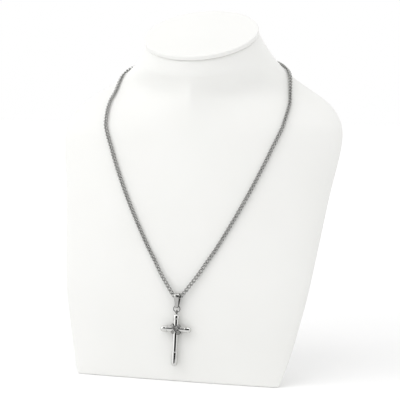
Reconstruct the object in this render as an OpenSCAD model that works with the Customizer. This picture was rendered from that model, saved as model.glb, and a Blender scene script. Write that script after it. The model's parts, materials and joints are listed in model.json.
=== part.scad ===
// Cross necklace on a plain neck bust. Millimetres, +Z up, the chest faces -Y.
// The origin is on the table, at the middle of the whole outline.

/* [Chain] */
// Wire of the chain's links
wire_d = 0.85; // [0.8:0.01:0.87]
// Radius of a link's round end, to the middle of its wire
link_end_r = 1.3; // [1.28:0.01:1.32]
// Distance from one link to the next where the chain lies straight
pitch = 3.07; // [3.02:0.01:3.1]
// Distance from one link to the next at the turn in the bail, before the turn is eased
turn_pitch = 3.15; // [3.1:0.01:3.2]
// Air between the chain and what it lies on
chain_gap = 0.3; // [0.2:0.05:0.6]

/* [Cross] */
// Length of the cross from its round top to its foot
cross_h = 41; // [38:0.1:44]
// Width across the arms
cross_w = 25.2; // [22:0.1:30]
// Distance from the round top down to the middle of the arms
arms_down = 12.1; // [11:0.1:14]
// Diameter of the plain rods
rod_d = 4.2; // [3.8:0.1:4.4]
// Diameter of the end caps
cap_d = 4.9; // [4.8:0.1:5.4]
// Length of the cap on the foot
foot_cap = 11.5; // [8:0.1:14]
// Length of the cap on the head
head_cap = 4.5; // [4:0.1:5.5]
// Length of the cap on each arm
arm_cap = 5.6; // [4:0.1:6]
// Width of each crossed band
band_w = 2.3; // [1.8:0.1:2.4]
// Thickness of a crossed band
band_t = 0.5; // [0.4:0.05:0.6]

/* [Bail and ring] */
// Outside radius of the bail's round top
bail_r = 3.1; // [3:0.05:3.3]
// Thickness of the bail's strap
strap_t = 0.65; // [0.5:0.05:0.7]
// Height of the bail
bail_h = 11.8; // [11.7:0.1:12.4]
// Width of the bail at its top
bail_top_w = 4.1; // [4:0.1:4.3]
// Width of the bail at its foot
bail_foot_w = 2.2; // [2:0.1:2.3]
// Radius of the jump ring, to the middle of its wire
ring_r = 2.5; // [2.45:0.05:2.55]
// Wire of the jump ring
ring_d = 0.75; // [0.7:0.05:0.75]
// Turn of the jump ring away from the front
ring_turn = 10; // [0:1:10]

/* [Neck bust] */
// Thickness of the cap on top of the neck
neck_cap_t = 3.8; // [3:0.1:6]
// Width of the neck cap
neck_cap_w = 95; // [90:1:100]
// Depth of the neck cap, along its slope
neck_cap_d = 82; // [78:1:88]
// Points around one level of the bust
around = 64; // [48:4:80]

/* [Hidden] */
$fn = 48;

gap = 0.08;
steel = [0.78, 0.78, 0.8];
// Depth of the outline's middle behind the place where the pendant hangs
middle_y = 52.34;

// The bust, level by level. Depths are measured back from the pendant's place.
// Columns: height, half width, front, side edge, back, front roundness, back roundness, slope
levels = [
    [0, 83, -8, -6, 72, 2.2, 1.6, 0],
    [20, 89.5, -5.5, 2, 74, 2.1, 1.6, 0],
    [45, 95.5, -1.5, 8.5, 76, 2, 1.6, 0],
    [68, 100.5, 2.5, 15, 79, 2, 1.6, 0],
    [108, 106.3, 11, 30, 83, 2, 1.6, 0],
    [148, 112, 19, 45, 90, 1.95, 1.6, 0],
    [178, 117.5, 25, 55, 97, 1.8, 1.6, 0],
    [195, 118, 28, 61, 101, 1.7, 1.5, 0],
    [206, 113.5, 30, 66, 105, 1.45, 1.45, 0],
    [216, 105, 31.5, 71.5, 109, 1.25, 1.4, 0],
    [224, 93, 32, 75.5, 112, 1.15, 1.4, 1],
    [233, 78.5, 31.8, 77.5, 114, 1.3, 1.5, 4],
    [243, 65.5, 30.5, 76, 114, 1.6, 1.8, 10],
    [252, 56.5, 29.3, 73, 111.5, 1.9, 1.95, 18],
    [262, 49.5, 28.5, 68, 106, 2, 2, 24],
    [269, 46.5, 28.7, 64, 99.3, 2, 2, 28]
];
top_row = len(levels) - 1;
neck_z = levels[top_row][0];
neck_y = levels[top_row][3];
neck_slope = levels[top_row][7];

// The chain's way over the right half of the bust, from the bail to the nape.
// Columns: turn from the front in degrees, level, extra distance from the surface
way = [
    [0, 64.1, 2.05],
    [2, 66.4, 2],
    [5, 73.6, 1.7],
    [8.7, 83, 1],
    [12, 93, 0.3],
    [15.6, 103.5, 0],
    [21.9, 124.5, 0],
    [27.9, 146, 0],
    [33.8, 168, 0],
    [39.6, 189.5, 0],
    [44.3, 200, 0],
    [50.5, 210, 0],
    [56.6, 218.5, 0.1],
    [66, 229, 0.2],
    [76.3, 235.7, 0.2],
    [88, 239.7, 0.1],
    [114, 243.8, 0],
    [139.5, 245, 0],
    [163.5, 245, 0.2],
    [180, 245, 0.5]
];
way_steps = 10;

// Tilt of a link's two ends out of the chain's plane, as a 3-4-5 triangle
tilt_c = 0.8;
tilt_s = 0.6;
link_side_r = link_end_r * tilt_s;
link_half_t = link_end_r * tilt_s + wire_d / 2;
eye_tilt = asin(tilt_s);
turn_links = 2;
way_ease = 3.5;
clasp_len = 7;
clasp_d = 3;
clasp_eye_x = clasp_len / 2 + link_end_r - 0.3;
// The eyes reach a little further out than that, because the chain bends away from the barrel
eye_reach = 0.2;

// The pendant's own frame: its origin is the chain's middle inside the bail, and -Z runs down the cross
hang_down = -0.35;
hang_lean = 9.6;
bail_foot_r = 1;
ring_down = 9.35;
eye_r = 1.25;
eye_wire = 1.1;
eye_down = 11.9;
head_down = 13.2;
arms_z = -head_down - arms_down;
foot_z = -head_down - cross_h;
// Solid metal at a cap's closed end, and how far a rod stops short of the cap's outside
cap_top = 2;
rod_end = cap_top + gap;

// Value of one column at height z: a cubic through the rows
function row_of(z, k = 0) = k >= top_row - 1 || z < levels[k + 1][0] ? k : row_of(z, k + 1);
function row_slope(k, c) =
    let (a = max(k - 1, 0), b = min(k + 1, top_row))
    (levels[b][c] - levels[a][c]) / (levels[b][0] - levels[a][0]);
function level(z, c) =
    let (
        k = row_of(z),
        h = levels[k + 1][0] - levels[k][0],
        t = (z - levels[k][0]) / h,
        p = levels[k][c],
        q = levels[k + 1][c],
        m = row_slope(k, c) * h,
        n = row_slope(k + 1, c) * h
    )
    p * (2 * t * t * t - 3 * t * t + 1) + m * (t * t * t - 2 * t * t + t)
        + q * (3 * t * t - 2 * t * t * t) + n * (t * t * t - t * t);

// Point of the bust's skin: a turns from the front (0) over the right side (90) to the back (180)
function skin(a, z) =
    let (
        front = cos(a) >= 0,
        power = 2 / (front ? level(z, 5) : level(z, 6)),
        side = level(z, 3),
        reach = front ? side - level(z, 2) : level(z, 4) - side,
        x = level(z, 1) * sign(sin(a)) * pow(abs(sin(a)), power),
        y = side - sign(cos(a)) * reach * pow(abs(cos(a)), power)
    )
    [x, y - middle_y, z + (y - side) * tan(level(z, 7))];

function unit(v) = v / norm(v);
function skin_normal(a, z) =
    unit(cross(skin(a + 1, z) - skin(a - 1, z), skin(a, min(z + 1, neck_z)) - skin(a, z - 1)));

// Place on the chain's way, t counting its rows
function way_at(t, c) =
    let (
        last = len(way) - 1,
        k = min(floor(t), last - 1),
        u = t - k,
        p0 = k == 0 ? (c == 0 ? -way[1][0] : way[1][c]) : way[k - 1][c],
        p1 = way[k][c],
        p2 = way[k + 1][c],
        p3 = k + 1 == last ? (c == 0 ? 360 - way[last - 1][0] : way[last - 1][c]) : way[k + 2][c]
    )
    p1 + 0.5 * u * (p2 - p0 + u * (2 * p0 - 5 * p1 + 4 * p2 - p3 + u * (3 * (p1 - p2) + p3 - p0)));
function way_normal(t) = skin_normal(way_at(t, 0), way_at(t, 1));
function way_point(t) =
    skin(way_at(t, 0), way_at(t, 1)) + way_normal(t) * (link_half_t + chain_gap + way_at(t, 2));

way_t = [for (k = [0 : (len(way) - 1) * way_steps]) k / way_steps];
way_points = [for (t = way_t) way_point(t)];
way_normals = [for (t = way_t) way_normal(t)];
way_s = [
    for (k = 0, s = 0; k < len(way_points); s = s + (k + 1 < len(way_points)
        ? norm(way_points[k + 1] - way_points[k]) : 0), k = k + 1) s
];
half_len = way_s[len(way_s) - 1];
by_length = [for (c = [0 : 2]) [for (k = [0 : len(way_s) - 1]) [way_s[k], way_points[k][c]]]];
normal_by_length = [for (c = [0 : 2]) [for (k = [0 : len(way_s) - 1]) [way_s[k], way_normals[k][c]]]];
// A value of the way at length s, which runs on past the bail and the nape as its mirror image
function on_way(s, table) =
    s < 0 || s > half_len
        ? let (v = on_way(s < 0 ? -s : 2 * half_len - s, table)) [-v[0], v[1], v[2]]
        : [for (c = [0 : 2]) lookup(s, table[c])];
function eased(s, table) =
    (on_way(s - way_ease, table) + 2 * on_way(s, table) + on_way(s + way_ease, table)) / 4;
function chain_point(s) = eased(s, by_length);

// Frame at length s: X along the chain, Z away from the bust
function chain_frame(s) =
    let (
        p = chain_point(s),
        reach = pitch / 2,
        t = unit(chain_point(s + reach) - chain_point(s - reach)),
        n0 = eased(s, normal_by_length),
        n = unit(n0 - (n0 * t) * t),
        b = cross(n, t)
    )
    [[t[0], b[0], n[0], p[0]], [t[1], b[1], n[1], p[1]], [t[2], b[2], n[2], p[2]], [0, 0, 0, 1]];

// The links share the length between the bail's turn and the clasp evenly
even_run = half_len - (turn_links - 0.5) * turn_pitch - clasp_eye_x - pitch + link_side_r;
even_links = ceil(even_run / pitch);
even_pitch = even_run / even_links;
last_link = turn_links + even_links;
// Length at which link i sits, counted 1, 2, 3 to the right of the bail's middle and -1, -2, -3 to the left
function link_s(i) =
    sign(i) * ((min(abs(i), turn_links) - 0.5) * turn_pitch + max(abs(i) - turn_links, 0) * even_pitch);

// Places of a link's six bent wires: two round ends and four side bends
link_parts = [
    [link_end_r, 180, [[0, 1, 0, link_side_r], [-tilt_c, 0, tilt_s, 0], [tilt_s, 0, tilt_c, 0], [0, 0, 0, 1]]],
    [link_end_r, 180, [[0, -1, 0, -link_side_r], [tilt_c, 0, -tilt_s, 0], [tilt_s, 0, tilt_c, 0], [0, 0, 0, 1]]],
    for (y = [1, -1], x = [1, -1])
        [link_side_r, 90, [[-x, 0, 0, x * link_side_r], [0, 0, -y, y * link_end_r * tilt_c], [0, -x * y, 0, 0], [0, 0, 0, 1]]]
];

module bent_wire(radius, turn, wire) {
    rotate_extrude(angle = turn) translate([radius, 0]) circle(d = wire);
}

module links(from, to) {
    for (i = [from : to])
        multmatrix(chain_frame(link_s(i)))
            for (part = link_parts) multmatrix(part[2]) bent_wire(part[0], part[1], wire_d);
}

module neck_bust() {
    heights = concat([for (z = [0 : 10 : 170]) z], [for (z = [175 : 4.7 : neck_z]) z]);
    rings = len(heights);
    points = [for (z = heights, k = [0 : around - 1]) skin(k * 360 / around, z)];
    side = [
        for (j = [0 : rings - 2], k = [0 : around - 1])
            let (n = (k + 1) % around)
            each [
                [j * around + k, (j + 1) * around + k, (j + 1) * around + n],
                [j * around + k, (j + 1) * around + n, j * around + n]
            ]
    ];
    base = [for (k = [0 : around - 1]) k];
    top = [for (k = [around - 1 : -1 : 0]) (rings - 1) * around + k];
    color("white") polyhedron(points, concat(side, [base], [top]), convexity = 6);
}

module neck_cap() {
    color("whitesmoke")
        translate([0, neck_y - middle_y, neck_z]) rotate([neck_slope, 0, 0])
            translate([0, 0, 0.2]) scale([neck_cap_w / neck_cap_d, 1, 1])
                cylinder(d = neck_cap_d, h = neck_cap_t);
}

module chain_right() {
    color(steel) links(1, last_link);
}

module chain_left() {
    color(steel) links(-last_link, -1);
}

module clasp() {
    color(steel) multmatrix(chain_frame(half_len)) {
        translate([-clasp_len / 2, 0, 0]) rotate([0, 90, 0]) cylinder(d = clasp_d, h = clasp_len);
        for (x = [1, -1])
            translate([x * (clasp_eye_x + eye_reach), 0, 0]) rotate([-x * eye_tilt, 0, 0])
                rotate_extrude() translate([link_end_r, 0]) circle(d = wire_d);
    }
}

// Puts a piece of the pendant where it hangs
module hung() {
    translate(chain_point(0) - [0, 0, hang_down]) rotate([-hang_lean, 0, 0]) children();
}

// Block with a drop's outline: a round top, straight sides and a small round foot.
// The sides lie a hair inside the true tangents, so that they cross both arcs.
module drop(top_r, foot_r, foot_y, width) {
    lean = asin((top_r - foot_r) / foot_y);
    hair = 0.01;
    translate([0, 0, -width / 2]) {
        cylinder(r = top_r, h = width);
        translate([0, -foot_y, 0]) cylinder(r = foot_r, h = width);
        linear_extrude(width) polygon([
            (top_r - hair) * [cos(lean), -sin(lean)],
            (foot_r - hair) * [cos(lean), -sin(lean)] - [0, foot_y],
            (foot_r - hair) * [-cos(lean), -sin(lean)] - [0, foot_y],
            (top_r - hair) * [-cos(lean), -sin(lean)]
        ]);
    }
}

module bail() {
    foot_y = bail_h - bail_r - bail_foot_r - strap_t;
    color(steel) hung() intersection() {
        rotate([90, 0, 90]) difference() {
            drop(bail_r, bail_foot_r + strap_t, foot_y, bail_top_w);
            drop(bail_r - strap_t, bail_foot_r, foot_y, bail_top_w + 1);
        }
        rotate([90, 0, 0]) translate([0, 0, -2 * bail_r]) linear_extrude(4 * bail_r) polygon([
            [-bail_top_w / 2, bail_r + 1], [bail_top_w / 2, bail_r + 1], [bail_top_w / 2, 0],
            [bail_foot_w / 2, bail_r - bail_h - 1], [-bail_foot_w / 2, bail_r - bail_h - 1], [-bail_top_w / 2, 0]
        ]);
    }
}

module jump_ring() {
    color(steel) hung() translate([0, 0, -ring_down]) rotate([90, 0, ring_turn])
        rotate_extrude() translate([ring_r, 0]) circle(d = ring_d);
}

module cross_rods() {
    color(steel) hung() {
        translate([0, 0, foot_z + rod_end]) cylinder(d = rod_d, h = cross_h - 2 * rod_end);
        translate([-cross_w / 2 + rod_end, 0, arms_z]) rotate([0, 90, 0])
            cylinder(d = rod_d, h = cross_w - 2 * rod_end);
    }
}

// Cap over a rod's end, its mouth at the origin and its round end up
module end_cap(length) {
    difference() {
        union() {
            cylinder(d = cap_d, h = length - cap_d / 2);
            translate([0, 0, length - cap_d / 2]) sphere(d = cap_d);
        }
        translate([0, 0, -1]) cylinder(d = rod_d + 2 * gap, h = length + 1 - cap_top);
    }
}

module cap_head() {
    color(steel) hung() {
        translate([0, 0, -head_down - head_cap]) end_cap(head_cap);
        translate([0, 0, -eye_down]) rotate([0, 90, 0])
            rotate_extrude() translate([eye_r, 0]) circle(d = eye_wire);
    }
}

module cap_foot() {
    color(steel) hung() translate([0, 0, foot_z + foot_cap]) rotate([180, 0, 0]) end_cap(foot_cap);
}

module cap_left() {
    color(steel) hung() translate([-cross_w / 2 + arm_cap, 0, arms_z]) rotate([0, -90, 0]) end_cap(arm_cap);
}

module cap_right() {
    color(steel) hung() translate([cross_w / 2 - arm_cap, 0, arms_z]) rotate([0, 90, 0]) end_cap(arm_cap);
}

// Flat band round the crossing, on the slant: side is 1 or -1, lift is its place over the rods
module crossed_band(side, lift) {
    half_t = rod_d / 2 + lift;
    half_l = rod_d / 2 * sqrt(2) + band_w / 2 + gap;
    module slot(grow) {
        square([2 * (half_l - half_t), 2 * (half_t + grow)], center = true);
        for (x = [1, -1]) translate([x * (half_l - half_t), 0]) circle(r = half_t + grow);
    }
    strand = band_w / 3;
    translate([0, 0, arms_z]) rotate([0, 45 * side, 0]) rotate([90, 0, 0]) rotate([90, 0, 0]) {
        translate([0, 0, -band_w / 2]) linear_extrude(band_w) difference() {
            slot(band_t * 0.6);
            slot(0);
        }
        for (k = [-1 : 1])
            translate([0, 0, k * strand - strand * 0.4]) linear_extrude(strand * 0.8) difference() {
                slot(band_t);
                slot(band_t * 0.3);
            }
    }
}

module band_under() {
    color(steel) hung() crossed_band(-1, gap);
}

module band_over() {
    color(steel) hung() crossed_band(1, band_t + 2 * gap);
}

neck_bust();
neck_cap();
chain_left();
chain_right();
clasp();
bail();
jump_ring();
cross_rods();
cap_head();
cap_foot();
cap_left();
cap_right();
band_under();
band_over();
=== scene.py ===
# Cross necklace on a white neck bust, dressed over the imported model. Metres, the chest faces -Y, +Z is up.
import json
import math

import bmesh
import bpy
import numpy as np
from mathutils import Matrix, Vector


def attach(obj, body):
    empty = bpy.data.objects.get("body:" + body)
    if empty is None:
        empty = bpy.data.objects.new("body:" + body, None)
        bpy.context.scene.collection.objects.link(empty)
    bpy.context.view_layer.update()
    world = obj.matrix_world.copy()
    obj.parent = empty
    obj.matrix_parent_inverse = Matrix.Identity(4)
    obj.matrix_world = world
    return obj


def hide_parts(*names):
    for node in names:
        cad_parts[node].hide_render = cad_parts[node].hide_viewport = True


MM = 0.001
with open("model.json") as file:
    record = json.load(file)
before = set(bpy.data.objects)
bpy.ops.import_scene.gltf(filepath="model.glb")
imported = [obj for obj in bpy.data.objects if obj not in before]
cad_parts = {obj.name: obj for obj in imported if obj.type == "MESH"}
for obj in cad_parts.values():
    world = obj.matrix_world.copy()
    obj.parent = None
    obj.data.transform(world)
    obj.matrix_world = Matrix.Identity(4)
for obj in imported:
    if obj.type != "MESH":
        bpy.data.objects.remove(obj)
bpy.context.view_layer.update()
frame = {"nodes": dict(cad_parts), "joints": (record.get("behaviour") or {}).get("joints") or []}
nodes = frame["nodes"]

# The photograph's view: the camera's turn and rise, and its distance from the pendant
CAMERA_TURN = math.radians(17)
CAMERA_RISE = math.radians(6)
CAMERA_REACH = 1055 * MM
SENSOR_WIDTH = 36

# The photograph's side in pixels, a pixel's size at the pendant, and where the chain enters the bail
PHOTO_SIDE = 400
PIXEL_SIZE = 0.785 * MM
BAIL_PIXEL = (178, 294)
BAIL_PLACE = Vector((0, -52.34, 68)) * MM

# Softboxes: the place that they face, their distance from it, and the side of their square
LIT_PLACE = Vector((0, -50, 90)) * MM
SOFTBOX_AWAY = 1200 * MM
SOFTBOX_SIDE = 600 * MM

# Brightness of the backdrop as seen, and of the tent as it lights things; 1 is white
BACKDROP = 1.0
TENT_LIGHT = 0.88

# Brightness of the tent's wall, and of the openings in it, where steel mirrors them
WALL_MIRRORED = 1.55
OPENING_MIRRORED = 0.03

# The floor's own glow by the object and far off, and the distances where it starts to grow and is full
GLOW_NEAR = 0.04
GLOW_FAR = 0.2
GLOW_STARTS = 250 * MM
GLOW_FULL = 1200 * MM

# The pendant hangs from the chain's middle in the bail and leans with the chest
HANG_PLACE = Vector(frame["joints"][0]["pos_m"])
HANG_LEAN = math.radians(-9.6)
HUNG = Matrix.Translation(HANG_PLACE) @ Matrix.Rotation(HANG_LEAN, 4, "X")

# Cross: radii of the rods and their caps, the bands' section, and the air between neighbouring pieces
ROD_RADIUS = 2.1 * MM
CAP_RADIUS = 2.45 * MM
BAND_THICK = 0.5 * MM
BAND_WIDTH = 2.3 * MM
CLEAR = 0.08 * MM

# Cross: distances down from the hanging point, and the arms' reach to each side
HEAD_DOWN = 13.2 * MM
EYE_DOWN = 11.9 * MM
ARMS_DOWN = 25.3 * MM
FOOT_DOWN = 54.2 * MM
ARM_REACH = 12.6 * MM

# Cross: lengths of the caps
HEAD_CAP = 4.5 * MM
ARM_CAP = 5.6 * MM
FOOT_CAP = 11.5 * MM


def linear(hex_code):
    """Turns an sRGB hex colour into the linear values that shaders use."""
    channels = [int(hex_code[i:i + 2], 16) / 255 for i in (1, 3, 5)]
    return tuple(c / 12.92 if c <= 0.04045 else ((c + 0.055) / 1.055) ** 2.4 for c in channels) + (1,)


def add_node(tree, kind, settings=None, sockets=None):
    """Adds a node. A socket takes a constant, or the output of another node."""
    node = tree.nodes.new(kind)
    for name, value in (settings or {}).items():
        setattr(node, name, value)
    for name, value in (sockets or {}).items():
        if isinstance(value, bpy.types.NodeSocket):
            tree.links.new(value, node.inputs[name])
        else:
            node.inputs[name].default_value = value
    return node


def new_material(name):
    """An empty material with its output, ready for nodes."""
    material = bpy.data.materials.new(name)
    material.use_nodes = True
    material.node_tree.nodes.clear()
    return material, material.node_tree


def per_mm(size):
    """Texture scale whose features are this many millimetres across."""
    return 1 / (size * MM)


def polished_steel(name, colour, smooth, dull):
    """Stainless steel, tumbled and buffed: bright mirror patches with faint handling marks."""
    # Millimetres across
    mark_size = 4
    grain_size = 0.35
    material, tree = new_material(name)
    place = add_node(tree, "ShaderNodeTexCoord").outputs["Object"]
    marks = add_node(
        tree, "ShaderNodeTexNoise",
        sockets={"Vector": place, "Scale": per_mm(mark_size), "Detail": 4},
    )
    gloss = add_node(
        tree, "ShaderNodeMapRange",
        sockets={
            "Value": marks.outputs["Fac"],
            "From Min": 0.35,
            "From Max": 0.7,
            "To Min": smooth,
            "To Max": dull,
        },
    )
    grain = add_node(
        tree, "ShaderNodeTexNoise",
        sockets={"Vector": place, "Scale": per_mm(grain_size), "Detail": 2},
    )
    bump = add_node(
        tree, "ShaderNodeBump",
        sockets={"Strength": 0.12, "Distance": 0.03 * MM, "Height": grain.outputs["Fac"]},
    )
    steel = add_node(
        tree, "ShaderNodeBsdfPrincipled",
        sockets={
            "Base Color": linear(colour),
            "Metallic": 1,
            "Roughness": gloss.outputs["Result"],
            "Normal": bump.outputs["Normal"],
        },
    )
    add_node(tree, "ShaderNodeOutputMaterial", sockets={"Surface": steel.outputs["BSDF"]})
    return material


def leatherette(name, light, shade):
    """White polyurethane leatherette, calendered: a fine pebble grain under a soft satin skin."""
    # Millimetres across; real grain is about 0.6, and it is drawn larger so that it shows at all
    cloud_size = 60
    pebble_size = 1.1
    material, tree = new_material(name)
    place = add_node(tree, "ShaderNodeTexCoord").outputs["Object"]
    cloud = add_node(
        tree, "ShaderNodeTexNoise",
        sockets={"Vector": place, "Scale": per_mm(cloud_size), "Detail": 3},
    )
    tone = add_node(
        tree, "ShaderNodeMix", {"data_type": "RGBA"},
        {"Factor": cloud.outputs["Fac"], 6: linear(light), 7: linear(shade)},
    )
    pebble = add_node(
        tree, "ShaderNodeTexVoronoi", {"feature": "SMOOTH_F1"},
        {"Vector": place, "Scale": per_mm(pebble_size), "Smoothness": 0.6},
    )
    bump = add_node(
        tree, "ShaderNodeBump",
        sockets={"Strength": 0.25, "Distance": 0.06 * MM, "Height": pebble.outputs["Distance"]},
    )
    sheen = add_node(
        tree, "ShaderNodeMapRange",
        sockets={"Value": cloud.outputs["Fac"], "To Min": 0.5, "To Max": 0.62},
    )
    skin = add_node(
        tree, "ShaderNodeBsdfPrincipled",
        sockets={
            "Base Color": tone.outputs[2],
            "Roughness": sheen.outputs["Result"],
            "Specular IOR Level": 0.35,
            "Normal": bump.outputs["Normal"],
        },
    )
    add_node(tree, "ShaderNodeOutputMaterial", sockets={"Surface": skin.outputs["BSDF"]})
    return material


def plain_white(name, colour):
    """Matt photo-studio paper for the floor, with a glow far off so that it runs into the backdrop."""
    material, tree = new_material(name)
    place = add_node(tree, "ShaderNodeTexCoord").outputs["Object"]
    away = add_node(tree, "ShaderNodeVectorMath", {"operation": "LENGTH"}, {0: place})
    glow = add_node(
        tree, "ShaderNodeMapRange",
        sockets={
            "Value": away.outputs["Value"],
            "From Min": GLOW_STARTS,
            "From Max": GLOW_FULL,
            "To Min": GLOW_NEAR,
            "To Max": GLOW_FAR,
        },
    )
    paper = add_node(
        tree, "ShaderNodeBsdfPrincipled",
        sockets={
            "Base Color": linear(colour),
            "Roughness": 0.9,
            "Specular IOR Level": 0.1,
            "Emission Color": linear(colour),
            "Emission Strength": glow.outputs["Result"],
        },
    )
    add_node(tree, "ShaderNodeOutputMaterial", sockets={"Surface": paper.outputs["BSDF"]})
    return material


bust_skin = leatherette("white polyurethane leatherette", "#efefed", "#e9e9e6")
bright_steel = polished_steel("polished stainless steel", "#d0d0ce", 0.06, 0.16)
# The strap's satin roughness is its own, but its colour is darkened below the bright steel's as painted
# shade, so that the bail's front reads mid-grey
strap_steel_painted_shade = polished_steel("satin stainless steel strap with painted shade", "#aeaeac", 0.16, 0.28)
# The jump ring and the eye are the same steel, its colour darkened as painted shade so that they show dark
# outlines
ring_steel_painted_shade = polished_steel("bent stainless steel ring wire with painted shade", "#868685", 0.1, 0.2)
# The links and the clasp are the same steel, its colour darkened as painted shade for the shadowed gaps
# between the links
chain_steel_painted_shade = polished_steel("tumbled stainless steel links with painted shade", "#a9a9a7", 0.07, 0.2)
# The band wires are the same steel, its colour darkened as painted shade so that the crossed bands read
# darker than the rods
band_steel_painted_shade = polished_steel("drawn stainless steel wire with painted shade", "#b2b2b0", 0.12, 0.25)
# A near-black strip under the band wires stands in for the shade between them: painted shade
painted_shade_steel = polished_steel("near-black strip of painted shade", "#222223", 0.3, 0.45)


def new_piece(name, mesh, material, body, stands_for=None):
    """Puts a finished mesh in the scene on its body, in place of a CAD node where it stands for one."""
    piece = bpy.data.objects.new(name, mesh)
    bpy.context.scene.collection.objects.link(piece)
    mesh.materials.clear()
    mesh.materials.append(material)
    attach(piece, body)
    if stands_for:
        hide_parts(stands_for)
    return piece


def merged_copy(node):
    """A CAD node's mesh as a bmesh whose loose triangles share their corners."""
    same_point = 0.002 * MM
    shape = bmesh.new()
    shape.from_mesh(nodes[node].data)
    bmesh.ops.remove_doubles(shape, verts=shape.verts, dist=same_point)
    return shape


def finished_mesh(name, shape, sharp_angle):
    """Turns a bmesh into a mesh that is shaded smooth, with edges sharper than the angle kept."""
    bmesh.ops.recalc_face_normals(shape, faces=shape.faces)
    mesh = bpy.data.meshes.new(name)
    shape.to_mesh(mesh)
    shape.free()
    mesh.shade_smooth()
    mesh.set_sharp_from_angle(angle=sharp_angle)
    return mesh


def bust_mesh():
    """The bust's skin: the CAD levels as quads, smoothed once, with the rims rounded."""
    rim_round = 1.5 * MM
    quad_bend = math.radians(25)
    any_shape = math.radians(180)
    flat_bend = math.radians(0.02)
    in_line = math.radians(0.05)
    most_quad_corners = 20
    sharp_bend = math.radians(60)
    shape = merged_copy("neck_bust")
    bmesh.ops.join_triangles(
        shape, faces=shape.faces, angle_face_threshold=quad_bend, angle_shape_threshold=any_shape
    )
    flat_edges = [e for e in shape.edges if e.calc_face_angle(1) < flat_bend]
    bmesh.ops.dissolve_limit(shape, angle_limit=in_line, verts=[], edges=flat_edges)
    flats = [f for f in shape.faces if len(f.verts) > most_quad_corners]
    rims = [e for e in shape.edges if sum(f in flats for f in e.link_faces) == 1]
    bmesh.ops.bevel(shape, geom=rims, offset=rim_round, segments=3, profile=0.5, affect="EDGES")
    return finished_mesh("bust skin", shape, sharp_bend)


def disc_mesh():
    """The disc on the neck, with both rims rounded over."""
    rim_round = 0.9 * MM
    flat_bend = math.radians(0.5)
    rim_bend = math.radians(60)
    sharp_bend = math.radians(50)
    shape = merged_copy("neck_cap")
    bmesh.ops.dissolve_limit(shape, angle_limit=flat_bend, verts=shape.verts, edges=shape.edges)
    rims = [e for e in shape.edges if e.calc_face_angle(0) > rim_bend]
    bmesh.ops.bevel(shape, geom=rims, offset=rim_round, segments=4, profile=0.5, affect="EDGES")
    return finished_mesh("neck disc", shape, sharp_bend)


def drop_outline(top_r, foot_r, drop, top_steps, foot_steps):
    """Points and outward directions round a drop: a big arc above, straight sides, a small arc below."""
    lean = math.asin((top_r - foot_r) / drop)
    outline = []
    for i in range(top_steps + 1):
        turn = -lean + (math.pi + 2 * lean) * i / top_steps
        way = Vector((0, math.cos(turn), math.sin(turn)))
        outline.append((way * top_r, way))
    for i in range(foot_steps + 1):
        turn = math.pi + lean + (math.pi - 2 * lean) * i / foot_steps
        way = Vector((0, math.cos(turn), math.sin(turn)))
        outline.append((way * foot_r - Vector((0, 0, drop)), way))
    return outline


def strap_section(half, strap):
    """Points round the strap's section, half its width to each side, with rounded corners and a crown."""
    corner = 0.2 * MM
    crown = 0.06 * MM
    corner_turns = (0, 30, 60, 90)
    section = []
    for side_x, side_t in ((1, 1), (-1, 1), (-1, -1), (1, -1)):
        turns = corner_turns if side_x * side_t > 0 else reversed(corner_turns)
        for turn in map(math.radians, turns):
            x = side_x * (half - corner + corner * math.cos(turn))
            t = side_t * (strap / 2 - corner + corner * math.sin(turn))
            if t > 0:
                t -= crown * (x / half) ** 2
            section.append((x, t))
    return section


def bail_mesh():
    """The folded strap of the bail: a rounded flat section swept round a drop, narrower towards its foot."""
    strap = 0.65 * MM
    top_r = 3.1 * MM - strap / 2
    foot_r = 1.0 * MM + strap / 2
    drop = 7.05 * MM
    top_half = 2.05 * MM
    foot_half = 1.1 * MM
    foot_z = -9.7 * MM
    top_steps = 32
    foot_steps = 16
    sharp_bend = math.radians(60)
    shape = bmesh.new()
    rings = []
    for point, way in drop_outline(top_r, foot_r, drop, top_steps, foot_steps):
        outer = point + way * strap / 2
        share = min(max(outer.z / foot_z, 0), 1)
        half = top_half + (foot_half - top_half) * share
        section = strap_section(half, strap)
        rings.append([shape.verts.new(point + Vector((x, 0, 0)) + way * t) for x, t in section])
    for ring, after in zip(rings, rings[1:] + rings[:1]):
        for i in range(len(ring)):
            j = (i + 1) % len(ring)
            shape.faces.new((ring[i], ring[j], after[j], after[i]))
    bmesh.ops.transform(shape, matrix=HUNG, verts=shape.verts)
    return finished_mesh("bail strap", shape, sharp_bend)


def island_tree():
    """Geometry Nodes: joins a CAD mesh's loose triangles, then numbers its separate solids."""
    tree = bpy.data.node_groups.new("numbered solids", "GeometryNodeTree")
    tree.interface.new_socket("Geometry", in_out="INPUT", socket_type="NodeSocketGeometry")
    tree.interface.new_socket("Merge distance", in_out="INPUT", socket_type="NodeSocketFloat")
    tree.interface.new_socket("Geometry", in_out="OUTPUT", socket_type="NodeSocketGeometry")
    given = add_node(tree, "NodeGroupInput").outputs
    joined = add_node(
        tree, "GeometryNodeMergeByDistance",
        sockets={"Geometry": given["Geometry"], "Distance": given["Merge distance"]},
    )
    island = add_node(tree, "GeometryNodeInputMeshIsland")
    numbered = add_node(
        tree, "GeometryNodeStoreNamedAttribute", {"data_type": "INT", "domain": "FACE"},
        {"Geometry": joined.outputs["Geometry"], "Name": "solid", "Value": island.outputs["Island Index"]},
    )
    add_node(tree, "NodeGroupOutput", sockets={"Geometry": numbered.outputs["Geometry"]})
    return tree


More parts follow.
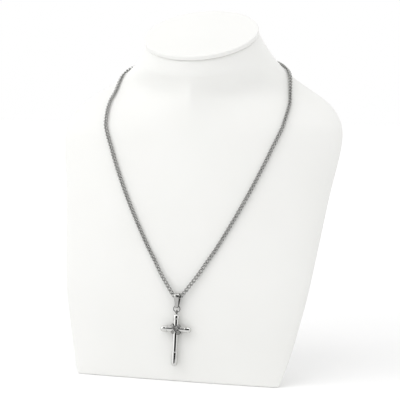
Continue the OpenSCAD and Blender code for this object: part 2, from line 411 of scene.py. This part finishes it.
def ring_tree():
    """Geometry Nodes: bends a round wire along a closed path and sets it at every given place, turned."""
    tree = bpy.data.node_groups.new("wire rings", "GeometryNodeTree")
    sockets = (
        ("Geometry", "INPUT", "NodeSocketGeometry"),
        ("Wire path", "INPUT", "NodeSocketObject"),
        ("Wire radius", "INPUT", "NodeSocketFloat"),
        ("Wire sides", "INPUT", "NodeSocketInt"),
        ("Material", "INPUT", "NodeSocketMaterial"),
        ("Geometry", "OUTPUT", "NodeSocketGeometry"),
    )
    for name, side, kind in sockets:
        tree.interface.new_socket(name, in_out=side, socket_type=kind)
    given = add_node(tree, "NodeGroupInput").outputs
    drawn = add_node(tree, "GeometryNodeObjectInfo", sockets={"Object": given["Wire path"]})
    path = add_node(tree, "GeometryNodeMeshToCurve", sockets={"Mesh": drawn.outputs["Geometry"]})
    section = add_node(
        tree, "GeometryNodeCurvePrimitiveCircle",
        sockets={"Resolution": given["Wire sides"], "Radius": given["Wire radius"]},
    )
    wire = add_node(
        tree, "GeometryNodeCurveToMesh",
        sockets={"Curve": path.outputs["Curve"], "Profile Curve": section.outputs["Curve"]},
    )
    smooth = add_node(tree, "GeometryNodeSetShadeSmooth", sockets={"Geometry": wire.outputs["Mesh"]})
    turn = add_node(tree, "GeometryNodeInputNamedAttribute", {"data_type": "FLOAT_VECTOR"}, {"Name": "turn"})
    placed = add_node(
        tree, "GeometryNodeInstanceOnPoints",
        sockets={
            "Points": given["Geometry"],
            "Instance": smooth.outputs["Geometry"],
            "Rotation": turn.outputs["Attribute"],
        },
    )
    solid = add_node(tree, "GeometryNodeRealizeInstances", sockets={"Geometry": placed.outputs["Instances"]})
    dressed = add_node(
        tree, "GeometryNodeSetMaterial",
        sockets={"Geometry": solid.outputs["Geometry"], "Material": given["Material"]},
    )
    add_node(tree, "NodeGroupOutput", sockets={"Geometry": dressed.outputs["Geometry"]})
    return tree


def grown_mesh(name, seed, tree, values):
    """Runs a Geometry Nodes tree on a mesh and returns the result as a plain mesh."""
    holder = bpy.data.objects.new(name + " seed", seed)
    bpy.context.scene.collection.objects.link(holder)
    modifier = holder.modifiers.new("grow", "NODES")
    modifier.node_group = tree
    for item in tree.interface.items_tree:
        if item.in_out == "INPUT" and item.name in values:
            modifier[item.identifier] = values[item.name]
    bpy.context.view_layer.update()
    evaluated = holder.evaluated_get(bpy.context.evaluated_depsgraph_get())
    mesh = bpy.data.meshes.new_from_object(evaluated)
    mesh.name = name
    holder.modifiers.remove(modifier)
    bpy.data.objects.remove(holder)
    return mesh


def ring_mesh(name, path, places, turns, wire_radius, sides, material):
    """Round wires along one closed path, set at places and turned by Euler angles."""
    loop = bpy.data.meshes.new(name + " path")
    loop.from_pydata(path, [(i, (i + 1) % len(path)) for i in range(len(path))], [])
    path_object = bpy.data.objects.new(name + " path", loop)
    bpy.context.scene.collection.objects.link(path_object)
    seed = bpy.data.meshes.new(name + " places")
    seed.from_pydata(places, [], [])
    turned = seed.attributes.new("turn", "FLOAT_VECTOR", "POINT")
    turned.data.foreach_set("vector", [angle for turn in turns for angle in turn])
    values = {
        "Wire path": path_object,
        "Wire radius": wire_radius,
        "Wire sides": sides,
        "Material": material,
    }
    mesh = grown_mesh(name, seed, ring_nodes, values)
    bpy.data.objects.remove(path_object)
    return mesh


def link_path():
    """Centre line of one curb link in its own frame: X along the chain, Y across it, Z off the bust."""
    end_r = 1.3 * MM
    across = 0.8
    tilt = 0.6
    side_r = end_r * tilt
    side_steps = 2
    end_steps = 5

    def side(x, y, turn):
        return (x * side_r * (1 - math.cos(turn)), y * end_r * across, -x * y * side_r * math.sin(turn))

    def end(x, turn):
        out = side_r + end_r * math.sin(turn)
        return (x * out, -x * end_r * across * math.cos(turn), end_r * tilt * math.cos(turn))

    side_turns = [math.pi / 2 * i / side_steps for i in range(side_steps)]
    end_turns = [math.pi * (1 - i / end_steps) for i in range(end_steps)]
    path = []
    for x in (1, -1):
        path += [side(x, x, turn) for turn in side_turns]
        path += [end(x, turn) for turn in end_turns]
        path += [side(x, -x, math.pi / 2 - turn) for turn in side_turns]
    return path


def link_places(node):
    """Centre and Euler angles of every loose link of a CAD chain, from the areas of its triangles."""
    same_point = 0.001 * MM
    cad_copy = nodes[node].data.copy()
    solid = grown_mesh(node + " links", cad_copy, island_nodes, {"Merge distance": same_point})
    corners = np.empty(len(solid.vertices) * 3)
    solid.vertices.foreach_get("co", corners)
    ids = np.empty(len(solid.loops), np.int64)
    solid.loops.foreach_get("vertex_index", ids)
    link = np.empty(len(solid.polygons), np.int64)
    solid.attributes["solid"].data.foreach_get("value", link)
    triangles = corners.reshape(-1, 3)[ids.reshape(-1, 3)]
    bpy.data.meshes.remove(solid)
    sides = triangles[:, 1:] - triangles[:, :1]
    area = np.linalg.norm(np.cross(sides[:, 0], sides[:, 1]), axis=1)
    middle = triangles.mean(axis=1)
    places = []
    turns = []
    for number in range(link.max() + 1):
        own = link == number
        place = np.average(middle[own], axis=0, weights=area[own])
        spread = np.cov(middle[own].T, aweights=area[own])
        axes = np.linalg.eigh(spread)[1]
        along = Vector(axes[:, 2])
        across = Vector(axes[:, 1])
        places.append(tuple(place))
        turns.append(Matrix((along, across, along.cross(across))).transposed().to_euler())
    return places, turns


def chain_mesh(name, node):
    """The links of one side of the chain, each where the CAD chain has it."""
    # A little thicker than the CAD's wire, so that the links look as close as in the photograph
    wire_r = 0.47 * MM
    wire_sides = 6
    places, turns = link_places(node)
    return ring_mesh(name, link_path(), places, turns, wire_r, wire_sides, chain_steel_painted_shade)


def band_path(lift):
    """Closed line round the crossed rods at this height over them: two half circles and straight runs."""
    bend = ROD_RADIUS + lift
    half = ROD_RADIUS * math.sqrt(2) + BAND_WIDTH / 2 + CLEAR + lift
    steps = 12
    path = []
    for end in (1, -1):
        for i in range(steps + 1):
            turn = math.pi * (i / steps - 0.5)
            path.append((end * (half - bend + bend * math.cos(turn)), end * bend * math.sin(turn), 0))
    return path


def band_place(side):
    """Where a crossed band lies. Side is 1 or -1 for its slant."""
    slant = math.radians(45) * side
    return HUNG @ Matrix.Translation((0, 0, -ARMS_DOWN)) @ Matrix.Rotation(slant, 4, "Y")


def band_mesh(name, side, lift):
    """One crossed band of three rolled wires, laid side by side this high over the rods."""
    wire_w = 0.58 * MM
    spacing = 0.82 * MM
    wire_sides = 12
    flattened = wire_w / BAND_THICK
    path = band_path(lift + BAND_THICK / 2)
    places = [(0, 0, spacing / flattened * k) for k in (-1, 0, 1)]
    turns = [(0, 0, 0)] * len(places)
    mesh = ring_mesh(name, path, places, turns, BAND_THICK / 2, wire_sides, band_steel_painted_shade)
    mesh.transform(band_place(side) @ Matrix.Diagonal((1, 1, flattened, 1)))
    return mesh


def backing_mesh(name, side, lift):
    """A near-black flat strip under a band's wires, painted shade that shows as dark lines between them."""
    strip_t = 0.24 * MM
    strip_sides = 12
    flattened = BAND_WIDTH / strip_t
    path = band_path(lift + strip_t / 2)
    mesh = ring_mesh(name, path, [(0, 0, 0)], [(0, 0, 0)], strip_t / 2, strip_sides, painted_shade_steel)
    mesh.transform(band_place(side) @ Matrix.Diagonal((1, 1, flattened, 1)))
    return mesh


def cap_outline(length):
    """Radius and height of a turned cap, from its bore's end round the lip and groove to its domed tip."""
    closed_end = 2 * MM
    bore = ROD_RADIUS + CLEAR
    bore_end = length - closed_end
    # Columns, in millimetres: distance beyond the bore, height above the cap's mouth
    lip = ((0.0, 0.12), (0.03, 0.03), (0.1, 0.0), (0.19, 0.0), (0.25, 0.03), (0.27, 0.1))
    groove = (
        (0.27, 0.48), (0.26, 0.5), (0.16, 0.56), (0.12, 0.66),
        (0.16, 0.76), (0.26, 0.82), (0.27, 0.84), (0.27, 1.0),
    )
    dome_steps = 10
    outline = [(0, bore_end), (bore, bore_end)]
    outline += [(bore + out * MM, up * MM) for out, up in lip + groove]
    for i in range(dome_steps + 1):
        turn = math.pi / 2 * i / dome_steps
        outline.append((CAP_RADIUS * math.cos(turn), length - CAP_RADIUS + CAP_RADIUS * math.sin(turn)))
    outline[-1] = (0, length)
    return outline


def cap_mesh(name, length, place):
    """A turned end cap, its mouth at the place's origin."""
    around = 48
    sharp_bend = math.radians(60)
    turns = [2 * math.pi * k / around for k in range(around)]
    shape = bmesh.new()
    rings = []
    for radius, height in cap_outline(length):
        if radius == 0:
            rings.append([shape.verts.new((0, 0, height))] * around)
        else:
            points = [(radius * math.cos(a), radius * math.sin(a), height) for a in turns]
            rings.append([shape.verts.new(point) for point in points])
    for ring, after in zip(rings, rings[1:]):
        for k in range(around):
            n = (k + 1) % around
            corners = dict.fromkeys((ring[k], ring[n], after[n], after[k]))
            shape.faces.new(tuple(corners))
    bmesh.ops.transform(shape, matrix=place, verts=shape.verts)
    return finished_mesh(name, shape, sharp_bend)


def eye_mesh():
    """The round eye soldered on the head cap, across the pendant so that the jump ring hangs through it."""
    eye_r = 1.25 * MM
    wire_r = 0.55 * MM
    wire_sides = 16
    steps = 32
    turns = [2 * math.pi * i / steps for i in range(steps)]
    path = [(0, eye_r * math.cos(a), eye_r * math.sin(a) - EYE_DOWN) for a in turns]
    mesh = ring_mesh("eye", path, [(0, 0, 0)], [(0, 0, 0)], wire_r, wire_sides, ring_steel_painted_shade)
    mesh.transform(HUNG)
    return mesh


island_nodes = island_tree()
ring_nodes = ring_tree()

# Bust and chain
bust = new_piece("bust_skin", bust_mesh(), bust_skin, "display", "neck_bust")
soften = bust.modifiers.new("soften", "SUBSURF")
soften.levels = 1
soften.render_levels = 1
new_piece("neck_disc", disc_mesh(), bust_skin, "display", "neck_cap")
for node in ("chain_left", "chain_right"):
    new_piece(node + "_links", chain_mesh(node + " links", node), chain_steel_painted_shade, "display", node)

# Bail, and the crossed bands with their slants and their heights over the rods
new_piece("bail_strap", bail_mesh(), strap_steel_painted_shade, "pendant", "bail")
for node, side, lift in (("band_under", -1, CLEAR), ("band_over", 1, BAND_THICK + 2 * CLEAR)):
    new_piece(node + "_wires", band_mesh(node + " wires", side, lift), band_steel_painted_shade, "pendant", node)
    # Each band lies on a near-black strip of painted shade, which shows as dark lines between its wires
    new_piece(node + "_backing", backing_mesh(node + " backing", side, lift), painted_shade_steel, "pendant")

# Caps: length, and where the mouth lies
cap_places = {
    "cap_head": (HEAD_CAP, Matrix.Translation((0, 0, -HEAD_DOWN - HEAD_CAP))),
    "cap_foot": (
        FOOT_CAP,
        Matrix.Translation((0, 0, FOOT_CAP - FOOT_DOWN)) @ Matrix.Rotation(math.pi, 4, "X"),
    ),
    "cap_left": (
        ARM_CAP,
        Matrix.Translation((ARM_CAP - ARM_REACH, 0, -ARMS_DOWN)) @ Matrix.Rotation(-math.pi / 2, 4, "Y"),
    ),
    "cap_right": (
        ARM_CAP,
        Matrix.Translation((ARM_REACH - ARM_CAP, 0, -ARMS_DOWN)) @ Matrix.Rotation(math.pi / 2, 4, "Y"),
    ),
}
for node, (length, place) in cap_places.items():
    cap = cap_mesh(node + " turned", length, HUNG @ place)
    new_piece(node + "_turned", cap, bright_steel, "pendant", node)
new_piece("head_eye", eye_mesh(), ring_steel_painted_shade, "pendant")

# The CAD's own meshes that stay in sight; the clasp and the jump ring take steels darkened as painted shade
finishes = {"clasp": chain_steel_painted_shade, "jump_ring": ring_steel_painted_shade, "cross_rods": bright_steel}
for node, finish in finishes.items():
    for slot in nodes[node].material_slots:
        slot.material = finish


def add_camera():
    """The photograph's camera."""
    flat = math.cos(CAMERA_RISE)
    look = Vector((-math.sin(CAMERA_TURN) * flat, math.cos(CAMERA_TURN) * flat, -math.sin(CAMERA_RISE)))
    right = Vector((math.cos(CAMERA_TURN), math.sin(CAMERA_TURN), 0))
    up = right.cross(look)
    across = (BAIL_PIXEL[0] - PHOTO_SIDE / 2) * PIXEL_SIZE
    above = (PHOTO_SIDE / 2 - BAIL_PIXEL[1]) * PIXEL_SIZE
    data = bpy.data.cameras.new("camera")
    data.sensor_width = SENSOR_WIDTH
    data.lens = SENSOR_WIDTH * CAMERA_REACH / (PHOTO_SIDE * PIXEL_SIZE)
    camera = bpy.data.objects.new("camera", data)
    bpy.context.scene.collection.objects.link(camera)
    camera.location = BAIL_PLACE - look * CAMERA_REACH - right * across - up * above
    camera.rotation_euler = look.to_track_quat("-Z", "Y").to_euler()
    bpy.context.scene.camera = camera


def facing(turn, rise):
    """Unit direction from the object, turned from the front towards +X and raised, both in degrees."""
    turn = math.radians(turn)
    rise = math.radians(rise)
    return Vector((math.sin(turn) * math.cos(rise), -math.cos(turn) * math.cos(rise), math.sin(rise)))


def add_softbox(name, turn, rise, glow):
    """A square softbox that faces the pendant, as bright as glow times a white wall."""
    data = bpy.data.lights.new(name, "AREA")
    data.shape = "SQUARE"
    data.size = SOFTBOX_SIDE
    data.energy = math.pi * SOFTBOX_SIDE ** 2 * glow
    light = bpy.data.objects.new(name, data)
    bpy.context.scene.collection.objects.link(light)
    light.location = LIT_PLACE + facing(turn, rise) * SOFTBOX_AWAY
    light.rotation_euler = (LIT_PLACE - light.location).to_track_quat("-Z", "Y").to_euler()


def wall_with_opening(tree, way, turn, rise, dark, rim):
    """Brightness of the tent's wall with one round dark opening, whose reach and soft rim are in degrees."""
    toward = add_node(
        tree, "ShaderNodeVectorMath", {"operation": "DOT_PRODUCT"},
        {0: way, 1: facing(turn, rise)},
    )
    shade = add_node(
        tree, "ShaderNodeMapRange", {"interpolation_type": "SMOOTHSTEP"},
        {
            "Value": toward.outputs["Value"],
            "From Min": math.cos(math.radians(rim)),
            "From Max": math.cos(math.radians(dark)),
            "To Min": WALL_MIRRORED,
            "To Max": OPENING_MIRRORED,
        },
    )
    return shade.outputs["Result"]


def add_surround():
    """A white tent whose bright walls and two dark front openings show in the steel's reflections."""
    world = bpy.data.worlds.new("white tent")
    world.use_nodes = True
    tree = world.node_tree
    tree.nodes.clear()
    way = add_node(tree, "ShaderNodeTexCoord").outputs["Generated"]
    front = wall_with_opening(tree, way, turn=20, rise=20, dark=34, rim=50)
    above = wall_with_opening(tree, way, turn=-17, rise=54, dark=13, rim=22)
    shade = add_node(tree, "ShaderNodeMath", {"operation": "MINIMUM"}, {0: front, 1: above})
    ray = add_node(tree, "ShaderNodeLightPath").outputs
    backdrop = add_node(
        tree, "ShaderNodeMix", {"data_type": "FLOAT"},
        {0: ray["Is Camera Ray"], 2: TENT_LIGHT, 3: BACKDROP},
    )
    strength = add_node(
        tree, "ShaderNodeMix", {"data_type": "FLOAT"},
        {0: ray["Is Glossy Ray"], 2: backdrop.outputs[0], 3: shade.outputs[0]},
    )
    glow = add_node(
        tree, "ShaderNodeBackground",
        sockets={"Color": linear("#ffffff"), "Strength": strength.outputs[0]},
    )
    add_node(tree, "ShaderNodeOutputWorld", sockets={"Surface": glow.outputs["Background"]})
    bpy.context.scene.world = world
    bpy.context.scene.view_settings.view_transform = "Standard"


def add_floor():
    """White paper to stand on, this many metres to each side."""
    reach = 4
    sheet = bpy.data.meshes.new("paper floor")
    corners = [(-reach, -reach, 0), (reach, -reach, 0), (reach, reach, 0), (-reach, reach, 0)]
    sheet.from_pydata(corners, [], [(0, 1, 2, 3)])
    sheet.materials.append(plain_white("white studio paper", "#fafafa"))
    floor = bpy.data.objects.new("paper_floor", sheet)
    bpy.context.scene.collection.objects.link(floor)


add_camera()
add_surround()
add_floor()
add_softbox("left softbox", turn=-58, rise=38, glow=2.0)
add_softbox("top softbox", turn=0, rise=75, glow=1.6)
